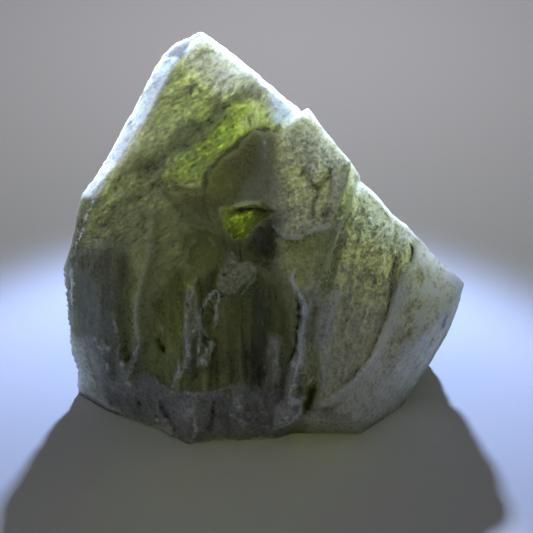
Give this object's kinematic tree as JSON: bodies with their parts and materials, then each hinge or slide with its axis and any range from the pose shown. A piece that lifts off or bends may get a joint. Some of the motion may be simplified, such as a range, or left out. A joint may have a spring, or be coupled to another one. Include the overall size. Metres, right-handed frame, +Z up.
{
  "type": "moldavite fragment",
  "caption": "Rough wedge-shaped fragment of green natural glass with a worked, pitted front and a flat broken base to stand on.",
  "frame": {"origin": "middle of the stone's width and depth, on the surface that it stands on", "axes": "+X to the right seen from the front, +Y towards the back, +Z up"},
  "size_m": [0.032, 0.0193, 0.031],
  "materials": {
    "moldavite_glass": "etched, frosted skin over clear bottle-green glass"
  },
  "bodies": {
    "root": {"stone": "moldavite_glass"}
  },
  "joints": []
}
